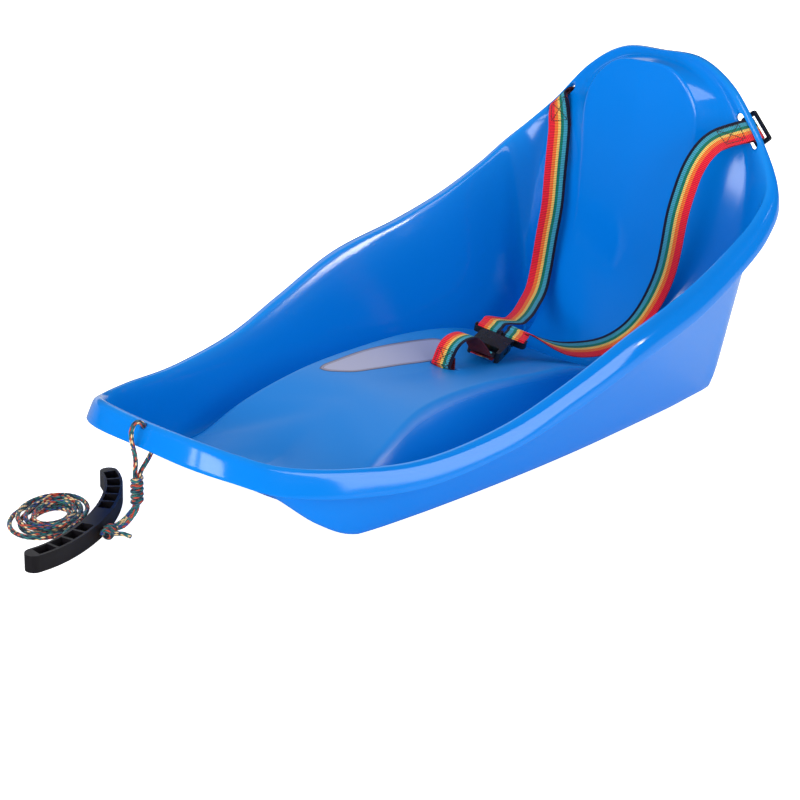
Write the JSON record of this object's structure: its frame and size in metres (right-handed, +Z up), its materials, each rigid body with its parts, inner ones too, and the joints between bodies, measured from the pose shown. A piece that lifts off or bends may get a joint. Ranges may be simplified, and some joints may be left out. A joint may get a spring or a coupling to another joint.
{
  "type": "baby pull sled",
  "caption": "Moulded plastic toddler sled with high backrest, shoulder harness, centre buckle and a tow rope with a pull handle.",
  "frame": {"origin": "centre of the bottom of the sled's box, on the ground it stands on, measured without the tow rope", "axes": "+Z up, +Y from the nose to the backrest along the length, +X to the sitter's left"},
  "size_m": [0.4122, 0.8559, 0.35],
  "materials": {
    "shell": "blue moulded polyethylene, glossy on the outside and finely textured on the floor of the seat",
    "webbing": "25 mm flat woven webbing in six lengthways colour bands with sewn black stitching",
    "black": "black moulded plastic with a fine satin grain",
    "rope": "braided cord, dark blue and teal with cream and rust flecks",
    "handle": "black moulded plastic with a soft sheen"
  },
  "bodies": {
    "sled": {"sled_shell": "shell", "shoulder_strap_left": "webbing", "shoulder_strap_right": "webbing", "crotch_strap": "webbing", "crotch_slide": "black", "buckle_housing": "black", "rope_lip_loop": "rope", "noose_knot": "rope", "rope_lead_left": "rope", "rope_lead_right": "rope", "handle_knot": "rope", "rope_tail": "rope", "rope_through": "rope", "rope_coil": "rope", "rope_cut_end": "rope", "pull_handle": "handle"},
    "tongue": {"buckle_tongue": "black"},
    "prong_left": {"buckle_prong_left": "black"},
    "prong_right": {"buckle_prong_right": "black"},
    "slide_left": {"shoulder_slide_left": "black"},
    "slide_right": {"shoulder_slide_right": "black"}
  },
  "joints": [
    {"name": "buckle_release", "type": "slide", "parent": "sled", "child": "tongue", "axis": [-0.2785, 0.9507, 0.1361], "range_m": [0, 0.028], "deforming": ["shoulder_strap_left", "shoulder_strap_right", "buckle_prong_left", "buckle_prong_right"]},
    {"name": "prong_left_squeeze", "type": "hinge", "parent": "tongue", "child": "prong_left", "pos_m": [0.00288, 0.11602, 0.06627], "axis": [-0.2388, 0.0687, -0.9686], "range_deg": [0, 9.5], "stiffness_Nm_per_rad": 1.2},
    {"name": "prong_right_squeeze", "type": "hinge", "parent": "tongue", "child": "prong_right", "pos_m": [-0.01712, 0.10953, 0.07074], "axis": [0.2388, -0.0687, 0.9686], "range_deg": [0, 9.5], "stiffness_Nm_per_rad": 1.2},
    {"name": "shoulder_slide_left_tilt", "type": "hinge", "parent": "sled", "child": "slide_left", "pos_m": [0.1289, 0.3672, 0.2873], "axis": [0.6691, 0, -0.7431], "range_deg": [0, 25], "deforming": ["shoulder_strap_left"]},
    {"name": "shoulder_slide_right_tilt", "type": "hinge", "parent": "sled", "child": "slide_right", "pos_m": [-0.1289, 0.3672, 0.2873], "axis": [0.6691, 0, 0.7431], "range_deg": [0, 25], "deforming": ["shoulder_strap_right"]}
  ]
}
